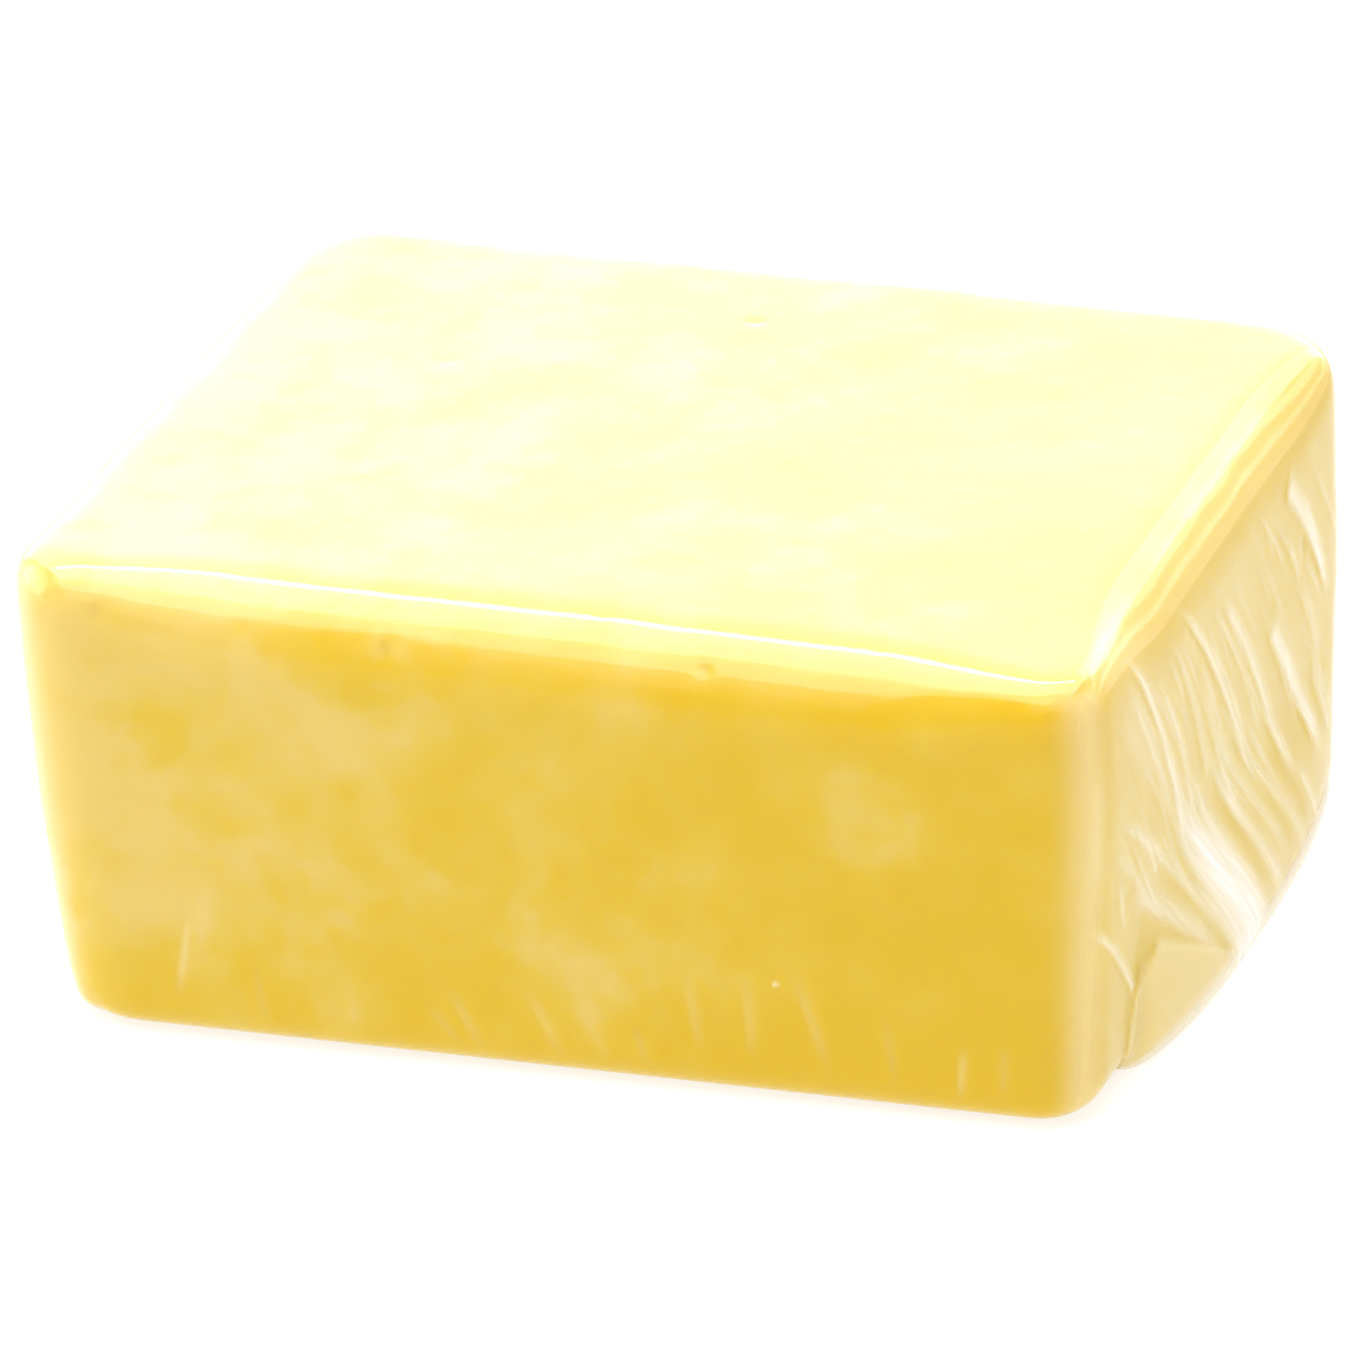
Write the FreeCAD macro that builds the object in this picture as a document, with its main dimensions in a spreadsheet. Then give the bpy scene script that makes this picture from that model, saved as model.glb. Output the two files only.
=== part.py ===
"""A half-kilo block of cheddar, wrapped tight in clear film.

The block and its film are one closed solid: the film lies on the cheese everywhere but at the foot of
each end, where it is gathered, pulled under and bulges a little. The block stands on its flat underside.
It is cut by wire, so it is not quite square: its ends lean in towards the foot and swell a little, its
top falls towards the front and the right, and its back corners are rounder than its front ones.

Frame: +Z up, +X along the length, -Y towards the front. The origin is on the underside, below the middle.
Sizes are in millimetres.
"""
import FreeCAD, Part
import os

import Sketcher

NODE = "wrapped_block"

# How a sketch's constraints name its own axis and origin.
X_AXIS = -1
ORIGIN = (-1, 1)

# Each driving size, by its alias in the sheet.
SIZES = [
    ("block_length", 111.0, "over both ends, at the height of the top"),
    ("block_width", 89.0, "front to back"),
    ("block_height", 49.0, "underside to the middle of the top"),
    ("foot_inset", 2.4, "how far each end stands in at the foot"),
    ("end_swell", 0.7, "how far each end swells between foot and top"),
    ("fall_to_right", 1.5, "how far the top falls from its middle to the right end"),
    ("fall_to_front", 1.8, "how far the top falls from its middle to the front"),
    ("front_left_corner", 8.5, "radius of that upright corner"),
    ("front_right_corner", 6.0, "radius of that upright corner"),
    ("back_corner", 10.0, "radius of the two upright corners at the back"),
    ("top_edge", 3.6, "radius round the top"),
    ("bottom_edge", 4.2, "radius round the underside"),
    ("gather_depth", 4.4, "how far the gathered film stands out from its own middle"),
    ("gather_rise", 7.5, "how far the gathered film rises from its own middle"),
    ("gather_lift", 6.0, "height of the gathered film's middle"),
    ("gather_bury", 1.2, "how far that middle lies inside the foot of the end"),
    ("gather_offset", 6.0, "how far the gather lies towards the front at the right, the back at the left"),
    ("gather_margin", 5.5, "from the gather's tip to the block's front at the right, its back at the left"),
]


def make_sheet(doc):
    """The spreadsheet of driving sizes, one alias a row."""
    sheet = doc.addObject("Spreadsheet::Sheet", "sizes")
    for row, (alias, value, note) in enumerate(SIZES, start=1):
        sheet.set(f"A{row}", alias)
        sheet.set(f"B{row}", str(value))
        sheet.set(f"C{row}", note)
        sheet.setAlias(f"B{row}", alias)
    doc.recompute()
    return sheet


def add_sketch(body, name, role):
    """An empty sketch on one of the body's own origin planes."""
    sketch = body.newObject("Sketcher::SketchObject", name)
    plane = next(feature for feature in body.Origin.OriginFeatures if feature.Role == role)
    sketch.AttachmentSupport = [(plane, "")]
    sketch.MapMode = "FlatFace"
    sketch.Visibility = False
    return sketch


def drive(sketch, constraint, name, expression):
    """Adds a named constraint and binds its value to the sheet."""
    index = sketch.addConstraint(constraint)
    sketch.renameConstraint(index, name)
    sketch.setExpression(f"Constraints.{name}", expression)


def add_end(sketch, sheet, side, underside, over_top):
    """One end of the side profile: a swelling arc that joins the underside to the line over the top.

    side is 1 at the right end and -1 at the left. The arc passes a marker at the height of the top, where
    the block has its full length. What lies above is cut away later.
    """
    half_length = sheet.get("block_length") / 2
    height = sheet.get("block_height")
    line_end = 1 if side < 0 else 2
    foot = sketch.getPoint(underside, line_end)
    above = sketch.getPoint(over_top, line_end)
    first_guess = Part.Arc(foot, FreeCAD.Vector(side * half_length, height / 2, 0), above)
    arc = sketch.addGeometry(first_guess, False)
    marker = sketch.addGeometry(Part.Point(FreeCAD.Vector(side * half_length, height, 0)), True)
    # An arc runs counter-clockwise: the right end's starts at the foot, and the left end's above.
    foot_end, upper_end = (1, 2) if side > 0 else (2, 1)
    sketch.addConstraint(Sketcher.Constraint("Coincident", arc, foot_end, underside, line_end))
    sketch.addConstraint(Sketcher.Constraint("Coincident", arc, upper_end, over_top, line_end))
    sketch.addConstraint(Sketcher.Constraint("PointOnObject", marker, 1, arc))
    name = "right" if side > 0 else "left"
    for what, point, value, expression in (
        ("foot", (underside, line_end), abs(foot.x), "sizes.block_length / 2 - sizes.foot_inset"),
        ("top", (marker, 1), half_length, "sizes.block_length / 2"),
    ):
        ends = ORIGIN + point if side > 0 else point + ORIGIN
        drive(sketch, Sketcher.Constraint("DistanceX", *ends, value), f"{name}_{what}", expression)
    drive(sketch, Sketcher.Constraint("DistanceY", *ORIGIN, marker, 1, height), f"{name}_height",
          "sizes.block_height")
    drive(sketch, Sketcher.Constraint("Radius", arc, sketch.Geometry[arc].Radius), f"{name}_swell",
          "(sizes.block_height^2 + sizes.foot_inset^2) / (8 * sizes.end_swell) + sizes.end_swell / 2")


def add_side_profile(body, sheet):
    """The block seen from the front, before its top is cut: an underside and two leaning, swelling ends."""
    sketch = add_sketch(body, "side_profile", "XZ_Plane")
    half_length = sheet.get("block_length") / 2
    half_foot = half_length - sheet.get("foot_inset")
    raw_height = sheet.get("block_height") + 2 * (sheet.get("fall_to_right") + sheet.get("fall_to_front"))
    lines = []
    for half, level in ((half_foot, 0), (half_length, raw_height)):
        ends = [FreeCAD.Vector(side * half, level, 0) for side in (-1, 1)]
        lines.append(sketch.addGeometry(Part.LineSegment(*ends), False))
    underside, over_top = lines
    sketch.addConstraint(Sketcher.Constraint("Horizontal", over_top))
    sketch.addConstraint(Sketcher.Constraint("PointOnObject", underside, 1, X_AXIS))
    sketch.addConstraint(Sketcher.Constraint("PointOnObject", underside, 2, X_AXIS))
    drive(sketch, Sketcher.Constraint("DistanceY", *ORIGIN, over_top, 1, raw_height), "raw_height",
          "sizes.block_height + 2 * (sizes.fall_to_right + sizes.fall_to_front)")
    for side in (-1, 1):
        add_end(sketch, sheet, side, underside, over_top)
    return sketch


def add_raw_block(body, sheet):
    """The side profile, drawn out over the width."""
    profile = add_side_profile(body, sheet)
    pad = body.newObject("PartDesign::Pad", "raw_block")
    pad.Profile = profile
    pad.SideType = "Symmetric"
    pad.setExpression("Length", "sizes.block_width")
    return pad


def add_covering_rectangle(body, sheet, name):
    """A rectangle flat in XY, centred on the origin and larger than the block."""
    sketch = add_sketch(body, name, "XY_Plane")
    far_x = sheet.get("block_length")
    far_y = sheet.get("block_width")
    corners = [FreeCAD.Vector(x, y, 0) for x, y in
               ((-far_x, -far_y), (far_x, -far_y), (far_x, far_y), (-far_x, far_y))]
    for n in range(4):
        sketch.addGeometry(Part.LineSegment(corners[n], corners[(n + 1) % 4]), False)
    for n in range(4):
        sketch.addConstraint(Sketcher.Constraint("Coincident", n, 2, (n + 1) % 4, 1))
        sketch.addConstraint(Sketcher.Constraint(("Horizontal", "Vertical")[n % 2], n))
    sketch.addConstraint(Sketcher.Constraint("Symmetric", 0, 1, 1, 2, *ORIGIN))
    drive(sketch, Sketcher.Constraint("DistanceX", 0, 1, 0, 2, 2 * far_x), "length",
          "2 * sizes.block_length")
    drive(sketch, Sketcher.Constraint("DistanceY", 1, 1, 1, 2, 2 * far_y), "width",
          "2 * sizes.block_width")
    return sketch


def cut_away(body, sketch, name, upwards):
    """Cuts away all that lies on one side of a sketch's plane."""
    pocket = body.newObject("PartDesign::Pocket", name)
    pocket.Profile = sketch
    pocket.Type = "ThroughAll"
    pocket.Reversed = upwards
    body.Document.recompute()
    return pocket


def cut_top(body, sheet):
    """The top: a plane that falls to the front and to the right."""
    sketch = add_covering_rectangle(body, sheet, "top_plane")
    sketch.setExpression("AttachmentOffset.Base.z", "sizes.block_height")
    slopes = {
        "x": "2 * sizes.fall_to_front / sizes.block_width",
        "y": "2 * sizes.fall_to_right / sizes.block_length",
    }
    for axis, slope in slopes.items():
        sketch.setExpression(f"AttachmentOffset.Rotation.Axis.{axis}", slope)
    sketch.setExpression("AttachmentOffset.Rotation.Axis.z", "0")
    sketch.setExpression("AttachmentOffset.Rotation.Angle",
                         f"atan(sqrt(({slopes['x']})^2 + ({slopes['y']})^2))")
    return cut_away(body, sketch, "cut_top", upwards=True)


def edge_names(shape, wanted):
    """The names of a shape's edges that pass a test."""
    return [f"Edge{n}" for n, edge in enumerate(shape.Edges, start=1) if wanted(edge)]


def add_fillet(body, name, base, edges, radius):
    """Rounds edges of the feature below, by a radius from the sheet."""
    fillet = body.newObject("PartDesign::Fillet", name)
    fillet.Base = (base, edges)
    fillet.setExpression("Radius", f"sizes.{radius}")
    body.Document.recompute()
    return fillet


def is_upright(edge):
    """Whether an edge climbs more than it runs along or across."""
    box = edge.BoundBox
    return box.ZLength > box.XLength + box.YLength


def round_upright_corners(body, base):
    """The four upright corners, the front ones sharper."""
    corners = [
        ("front_left_corner", lambda centre: centre.x < 0 and centre.y < 0),
        ("front_right_corner", lambda centre: centre.x > 0 and centre.y < 0),
        ("back_corner", lambda centre: centre.y > 0),
    ]
    for radius, is_there in corners:
        edges = edge_names(base.Shape, lambda e: is_upright(e) and is_there(e.CenterOfMass))
        base = add_fillet(body, f"rounded_{radius}", base, edges, radius)
    return base


def round_level_edges(body, base):
    """The edges round the top and round the underside."""
    for name, choose in (("top_edge", max), ("bottom_edge", min)):
        face = choose(base.Shape.Faces, key=lambda f: f.CenterOfMass.z)
        edges = edge_names(base.Shape, lambda e: any(e.isSame(border) for border in face.Edges))
        base = add_fillet(body, f"rounded_{name}", base, edges, name)


def add_gather(body, name, side):
    """The film gathered at the foot of an end. side is 1 at the right end and -1 at the left."""
    gather = body.newObject("PartDesign::AdditiveEllipsoid", name)
    plane = next(feature for feature in body.Origin.OriginFeatures if feature.Role == "XY_Plane")
    gather.AttachmentSupport = [(plane, "")]
    gather.MapMode = "FlatFace"
    gather.setExpression("Radius1", "sizes.gather_rise")
    gather.setExpression("Radius2", "sizes.gather_depth")
    gather.setExpression("Radius3", "sizes.block_width / 2 - sizes.gather_offset - sizes.gather_margin")
    foot = "(sizes.block_length / 2 - sizes.foot_inset - sizes.gather_bury)"
    gather.setExpression("AttachmentOffset.Base.x", f"{side} * {foot}")
    gather.setExpression("AttachmentOffset.Base.y", f"{-side} * sizes.gather_offset")
    gather.setExpression("AttachmentOffset.Base.z", "sizes.gather_lift")
    body.Document.recompute()
    return gather


def make_wrapped_block(doc, sheet):
    """The whole: the cut block, its rounded edges, the gathers and the flat underside."""
    body = doc.addObject("PartDesign::Body", NODE)
    body.Label = NODE
    add_raw_block(body, sheet)
    latest = cut_top(body, sheet)
    latest = round_upright_corners(body, latest)
    round_level_edges(body, latest)
    add_gather(body, "right_gather", 1)
    add_gather(body, "left_gather", -1)
    underside = add_covering_rectangle(body, sheet, "underside_plane")
    body.Tip = cut_away(body, underside, "flat_underside", upwards=False)
    doc.recompute()
    return body


def check(doc, shape):
    """Stops the build if an object failed, or the shape is not one valid closed solid."""
    failed = [o.Name for o in doc.Objects if {"Invalid", "Error"} & set(o.State)]
    if failed:
        raise RuntimeError(f"these objects failed: {failed}")
    if shape.isNull() or not shape.isValid() or len(shape.Solids) != 1:
        raise RuntimeError(f"{NODE} is not one valid solid")


def main():
    doc = FreeCAD.newDocument("cheddar_block")
    sheet = make_sheet(doc)
    body = make_wrapped_block(doc, sheet)
    check(doc, body.Shape)
    os.makedirs("parts", exist_ok=True)
    solid = body.Shape.Solids[0]
    solid.exportStep(f"parts/{NODE}.step")
    box = solid.optimalBoundingBox()
    print(f"{NODE}: {box.XLength:.2f} x {box.YLength:.2f} x {box.ZLength:.2f} mm,",
          f"{solid.Volume / 1000:.1f} cm3, x {box.XMin:.2f} to {box.XMax:.2f},",
          f"y {box.YMin:.2f} to {box.YMax:.2f}, z {box.ZMin:.3f} to {box.ZMax:.2f}")


main()
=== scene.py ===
"""A half-kilo block of cheddar in clear stretch film, on a plain pale studio floor.

The cheese is one block. The film is three pieces cut from the cheese's own skin: one goes round the front,
the top, the back and the underside, and one closes each end, where it is tucked under. The gathers of each
end are a finer sheet that lies on it.
Lengths are in metres, and MM turns millimetres into them.
"""
import math
import random

import bmesh
import bpy
import numpy as np
from mathutils import Matrix, Vector, noise


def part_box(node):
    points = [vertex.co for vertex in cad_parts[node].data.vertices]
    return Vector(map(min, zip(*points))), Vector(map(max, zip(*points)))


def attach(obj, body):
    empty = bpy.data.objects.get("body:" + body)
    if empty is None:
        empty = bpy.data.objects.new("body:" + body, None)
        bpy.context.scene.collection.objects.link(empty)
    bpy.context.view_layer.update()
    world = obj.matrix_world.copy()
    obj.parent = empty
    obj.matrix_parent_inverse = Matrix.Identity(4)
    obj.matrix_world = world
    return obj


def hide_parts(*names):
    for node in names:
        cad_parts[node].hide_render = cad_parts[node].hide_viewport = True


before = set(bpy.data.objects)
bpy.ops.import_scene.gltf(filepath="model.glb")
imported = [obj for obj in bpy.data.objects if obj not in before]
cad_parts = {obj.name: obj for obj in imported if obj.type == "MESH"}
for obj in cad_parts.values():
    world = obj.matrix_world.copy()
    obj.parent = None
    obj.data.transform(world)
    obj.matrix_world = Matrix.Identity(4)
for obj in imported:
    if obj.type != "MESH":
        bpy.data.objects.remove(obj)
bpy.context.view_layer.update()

MM = 0.001
NODE = "wrapped_block"
LOW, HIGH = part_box(NODE)

# The cheese, worked out from the solid's box. The gathers stand out past its ends, and the top slopes, so
# that its high corner stands above its middle.
GATHER_OUT = 0.8 * MM
FALL_RIGHT, FALL_FRONT = 1.5 * MM, 1.8 * MM
HIGH_CORNER = 2.9 * MM
HALF_LENGTH = HIGH.x - GATHER_OUT
HALF_WIDTH = HIGH.y
HEIGHT = HIGH.z - HIGH_CORNER
FOOT_INSET = 2.4 * MM
CORNER_LEAN = 1.3 * MM
END_SWELL, SIDE_SWELL = 0.7 * MM, 0.35 * MM
CORNER_RADII = {(-1, -1): 8.5 * MM, (1, -1): 6.0 * MM, (1, 1): 10.0 * MM, (-1, 1): 10.0 * MM}
TOP_EDGE, BOTTOM_EDGE = 3.6 * MM, 4.4 * MM
FRONT_EDGE, RIGHT_EDGE = 7.5 * MM, 7.0 * MM
WEAR_FADE = 24 * MM
SKIN_GRAIN = 0.75 * MM
SKIN_ROUNDS, WEAR_ROUNDS = 6, 8

# The fold tucked under at the foot of each end, right (1) and left (-1): from where to where it runs across,
# in millimetres.
FOLDS = {1: (-29, 37), -1: (29, -37)}
FOLD_OUT = 2.9 * MM
# The flap at the start of the fold: its free edge as (up, across), and where its upper edge comes down.
FLAP_EDGE = ((0, 1, 3, 6, 9, 11, 13), (-28.5, -29.5, -31.5, -31.8, -30.6, -28.5, -25.5))
FLAP_TOP = ((-26, -14, -6), (12.5, 6.5, 2.5))
FLAP_THICK = 0.3 * MM

# The film.
FILM_GAP = 0.12 * MM
FILM_LIFT = 0.7 * MM
GATHER_SLANT = 39
RIDGE_SHARE = 0.15
GATHER_GRAIN = (0.15 * MM, 0.7 * MM)
SHEET_HALF_WIDTH = HALF_WIDTH - 1.5 * MM
SHEET_LOW, SHEET_HIGH = 0.8 * MM, HEIGHT - 4 * MM
END_PATCH = 8.0 * MM
TUCK_UNDER = 9.0 * MM


# ---------------------------------------------------------------- tools

def only(obj):
    """Selects one object and nothing else, and makes it active."""
    bpy.ops.object.select_all(action="DESELECT")
    obj.select_set(True)
    bpy.context.view_layer.objects.active = obj


def edit(obj, kind):
    """Enters edit mode on an object with nothing selected. kind is VERT, EDGE or FACE."""
    only(obj)
    bpy.ops.object.mode_set(mode="EDIT")
    bpy.ops.mesh.select_mode(type=kind)
    bpy.ops.mesh.select_all(action="DESELECT")


def choose(obj, kind, wanted):
    """Selects the vertices, edges or faces that pass a test."""
    mesh = bmesh.from_edit_mesh(obj.data)
    parts = {"VERT": mesh.verts, "EDGE": mesh.edges, "FACE": mesh.faces}[kind]
    bpy.ops.mesh.select_all(action="DESELECT")
    for part in parts:
        if wanted(part):
            part.select_set(True)
    mesh.select_flush_mode()
    bmesh.update_edit_mesh(obj.data)


def leave(obj):
    """Back to object mode, with the object handed on."""
    bpy.ops.object.mode_set(mode="OBJECT")
    return obj


def points_of(obj):
    """The object's vertices and their normals, as arrays."""
    count = len(obj.data.vertices)
    places, normals = np.empty(count * 3), np.empty(count * 3)
    obj.data.vertices.foreach_get("co", places)
    obj.data.vertices.foreach_get("normal", normals)
    return places.reshape(-1, 3), normals.reshape(-1, 3)


def set_points(obj, places):
    """Puts the object's vertices at the places of an array."""
    obj.data.vertices.foreach_set("co", places.reshape(-1))
    obj.data.update()


def set_mask(obj, name, values):
    """Stores one number a vertex, for the material to read."""
    attribute = obj.data.attributes.new(name, "FLOAT", "POINT")
    attribute.data.foreach_set("value", np.asarray(values, dtype=np.float32))


def set_masks(obj, white, fold, veil):
    """How white, how folded and how veiled the film is at each vertex: arrays, or one number for all. At the
    ends the fold mask also holds painted light on the corners.
    """
    count = len(obj.data.vertices)
    for name, values in (("white", white), ("fold", fold), ("veil", veil)):
        set_mask(obj, name, np.broadcast_to(values, count))


def ramp(value, low, high):
    """0 below low, 1 above high, and smooth between. High may be the lower of the two."""
    part = np.clip((value - low) / (high - low), 0, 1)
    return part * part * (3 - 2 * part)


def bulge(share):
    """An even bow over a span: 0 at both ends, and 1 halfway."""
    return 4 * share * (1 - share)


def cloud(places, size, seed):
    """Smooth noise from -1 to 1 at each place, with lumps of about one size."""
    shift = Vector((seed * 7.3, seed * 3.1, seed * 5.7))
    return np.array([noise.noise(Vector(p) / size + shift) for p in places])


# ---------------------------------------------------------------- the cheese

def block_blank():
    """A block with leaning, swelling ends and a sloping top, and its corners and edges rounded."""
    bpy.ops.mesh.primitive_cube_add(size=1, location=(0, 0, HEIGHT / 2),
                                    scale=(2 * HALF_LENGTH, 2 * HALF_WIDTH, HEIGHT))
    block = bpy.context.active_object
    block.name = "cheddar"
    bpy.ops.object.transform_apply(location=True, rotation=True, scale=True)
    edit(block, "VERT")
    lean_and_swell(block)
    slope_top(block)
    round_edges(block)
    return leave(block)


def lean_and_swell(block):
    """Cuts the block at several levels, and draws each level in towards the foot and out at mid-height."""
    levels = [share * HEIGHT for share in (0, 0.2, 0.35, 0.5, 0.65, 0.8)]
    for level in levels[1:]:
        bpy.ops.mesh.select_all(action="SELECT")
        bpy.ops.mesh.bisect(plane_co=(0, 0, level), plane_no=(0, 0, 1))
    for level in levels:
        choose(block, "VERT", lambda v: abs(v.co.z - level) < 0.01 * MM)
        climb = level / HEIGHT
        swell = bulge(climb)
        along = 1 + (END_SWELL * swell - FOOT_INSET * (1 - climb)) / HALF_LENGTH
        across = 1 + SIDE_SWELL * (swell - 1) / HALF_WIDTH
        bpy.ops.transform.resize(value=(along, across, 1), center_override=(0, 0, level))


def slope_top(block):
    """Lifts and lowers the top's corners, so that it falls to the front and to the right."""
    for side_x, side_y in CORNER_RADII:
        def in_corner(vertex):
            x, y, z = vertex.co
            return z > 0.9 * HEIGHT and x * side_x > 0 and y * side_y > 0
        choose(block, "VERT", in_corner)
        lean = (-CORNER_LEAN, 0) if (side_x, side_y) == (-1, 1) else (0, 0)
        bpy.ops.transform.translate(value=(*lean, side_y * FALL_FRONT - side_x * FALL_RIGHT))


def is_upright(edge):
    """Whether an edge climbs more than it runs along or across."""
    first, second = (v.co for v in edge.verts)
    return abs(first.z - second.z) > (first.xy - second.xy).length


def round_edges(block):
    """Bevels the four upright corners by their own radii, then the edges of the top and the underside."""
    bpy.ops.mesh.select_mode(type="EDGE")
    for (side_x, side_y), radius in CORNER_RADII.items():
        def in_corner(edge):
            middle = (edge.verts[0].co + edge.verts[1].co) / 2
            outside = middle.x * side_x > HALF_LENGTH - 4 * MM and middle.y * side_y > HALF_WIDTH - 2 * MM
            return is_upright(edge) and outside
        choose(block, "EDGE", in_corner)
        bpy.ops.mesh.bevel(offset=radius, segments=14, profile=0.5, affect="EDGES")
    for radius, up in ((TOP_EDGE, 1), (BOTTOM_EDGE, -1)):
        choose(block, "EDGE", lambda e: sum(f.normal.z * up > 0.9 for f in e.link_faces) == 1)
        bpy.ops.mesh.bevel(offset=radius, segments=10, profile=0.5, affect="EDGES")


def remesh(block):
    """An even skin of small faces, smooth over the joins of the bevels."""
    only(block)
    skin = block.modifiers.new("even_skin", "REMESH")
    skin.mode = "VOXEL"
    skin.voxel_size = SKIN_GRAIN
    bpy.ops.object.modifier_apply(modifier=skin.name)
    smooth_skin(block, SKIN_ROUNDS)
    bpy.ops.object.shade_smooth()


def smooth_skin(block, rounds):
    """Evens out the skin a little, a number of times over."""
    only(block)
    ease = block.modifiers.new("ease", "SMOOTH")
    ease.factor = 0.5
    ease.iterations = rounds
    bpy.ops.object.modifier_apply(modifier=ease.name)


def press_edge(inset, drop, radius):
    """Carries what sticks out of a rounder edge onto it.

    inset and drop are the depths below the edge's two faces.
    """
    a, b = 1 - inset / radius, 1 - drop / radius
    out = np.hypot(a, b)
    beyond = (a > 0) & (b > 0) & (out > 1)
    share = np.where(beyond, 1 / np.maximum(out, 1e-6), 1)
    return (np.where(beyond, radius * (1 - a * share), inset),
            np.where(beyond, radius * (1 - b * share), drop))


def edge_radius(worn, along, half_reach):
    """The worn radius over most of an edge, which narrows to the plain one near its two ends."""
    near_end = ramp(np.abs(along), half_reach - WEAR_FADE, half_reach - 1 * MM)
    return worn - (worn - TOP_EDGE) * near_end


def wear_top_edges(block):
    """The top's edges at the front and at the right are worn rounder than the other two."""
    places, _ = points_of(block)
    x, y, z = places.T.copy()
    top = HEIGHT + y / HALF_WIDTH * FALL_FRONT - x / HALF_LENGTH * FALL_RIGHT
    climb = np.minimum(z / HEIGHT, 1)
    swell = bulge(climb)
    # Where the front and the end really stand, level by level.
    front = SIDE_SWELL * (1 - swell) * ramp(climb, 1, 0.8) - HALF_WIDTH
    end = HALF_LENGTH + END_SWELL * swell - FOOT_INSET * (1 - climb)
    inset, drop = press_edge(y - front, top - z, edge_radius(FRONT_EDGE, x, HALF_LENGTH))
    y, z = inset + front, top - drop
    inset, drop = press_edge(end - x, top - z, edge_radius(RIGHT_EDGE, y, HALF_WIDTH))
    set_points(block, np.column_stack((end - inset, y, top - drop)))
    smooth_skin(block, WEAR_ROUNDS)


# Small pits left by air, as (face, place along it, height or depth on it, radius, depth), in millimetres.
PITS = [
    ("front", -44.5, 45.0, 0.7, 0.35), ("front", -15.0, 43.6, 0.7, 0.4), ("front", 16.8, 44.2, 0.6, 0.4),
    ("front", 33.0, 30.5, 0.9, 0.15), ("front", -3.5, 24.0, 1.0, 0.15), ("front", -33.0, 31.0, 0.8, 0.2),
    ("top", -3.0, 28.7, 0.6, 0.3), ("top", 31.0, -6.0, 0.5, 0.15), ("top", -30.0, 12.0, 0.7, 0.15),
    ("back", 22.0, 38.0, 0.7, 0.35), ("back", -31.0, 21.0, 0.9, 0.25), ("back", 4.0, 12.0, 0.6, 0.3),
    ("left", -14.0, 33.0, 0.8, 0.3), ("left", 20.0, 24.0, 0.7, 0.3), ("right", 24.0, 33.0, 0.7, 0.25),
]


def pit_place(face, first, second):
    """A pit's centre on its face of the block."""
    first, second = first * MM, second * MM
    return np.array({
        "front": (first, -HALF_WIDTH, second), "back": (first, HALF_WIDTH, second),
        "left": (-HALF_LENGTH, first, second), "right": (HALF_LENGTH, first, second),
        "top": (first, second, HEIGHT),
    }[face])


def fold_at(places, side):
    """How strongly the tucked fold at an end swells at each place, from 0 to 1."""
    fold_from, fold_to = FOLDS[side]
    across, up = places[:, 1] / MM, places[:, 2] / MM
    inward = np.maximum(0, HALF_LENGTH - FOOT_INSET - side * places[:, 0]) / MM
    middle, reach = (fold_from + fold_to) / 2, abs(fold_to - fold_from) / 2
    part = (across - middle) / reach * np.sign(fold_to - fold_from)
    swell = np.clip(1 - part ** 2, 0, 1) ** (0.4 + 0.35 * ramp(part, -0.3, 0.6))
    return swell * ramp(up, 20, 3) * ramp(inward, TUCK_UNDER / MM, 0)


def flap_at(places, side):
    """1 on the flap at the start of an end's fold, and 0 off it."""
    across, up = side * places[:, 1] / MM, places[:, 2] / MM
    past_edge = across - np.interp(up, *FLAP_EDGE)
    below_top = np.interp(across, *FLAP_TOP) - up
    at_end = ramp(side * places[:, 0], HALF_LENGTH - 7 * MM, HALF_LENGTH - 5.5 * MM)
    return ramp(past_edge, -0.25, 0.25) * ramp(below_top, -1.0, 0.3) * at_end


def wear_in(block):
    """The cheese's own unevenness: slow waves left by the wire, a soft grain of curd and small pits."""
    places, normals = points_of(block)
    rise = 0.22 * MM * cloud(places, 26 * MM, 1) + 0.06 * MM * cloud(places, 8 * MM, 2)
    rise += 0.018 * MM * cloud(places, 2.6 * MM, 3)
    for face, first, second, radius, depth in PITS:
        away = places - pit_place(face, first, second)
        # The wire leaves the faces a little off their nominal planes, so only two directions count.
        away[:, {"front": 1, "back": 1, "left": 0, "right": 0, "top": 2}[face]] *= 0.2
        rise -= depth * MM * np.exp(-(np.linalg.norm(away, axis=1) / (radius * MM)) ** 2)
    # The underside stays flat.
    rise *= ramp(places[:, 2], 0.2 * MM, 3 * MM)
    for side in FOLDS:
        rise += FOLD_OUT * fold_at(places, side) + FLAP_THICK * flap_at(places, side)
    places += normals * rise[:, None]
    places[:, 2] = np.maximum(places[:, 2], 0.15 * MM)
    set_points(block, places)


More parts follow.
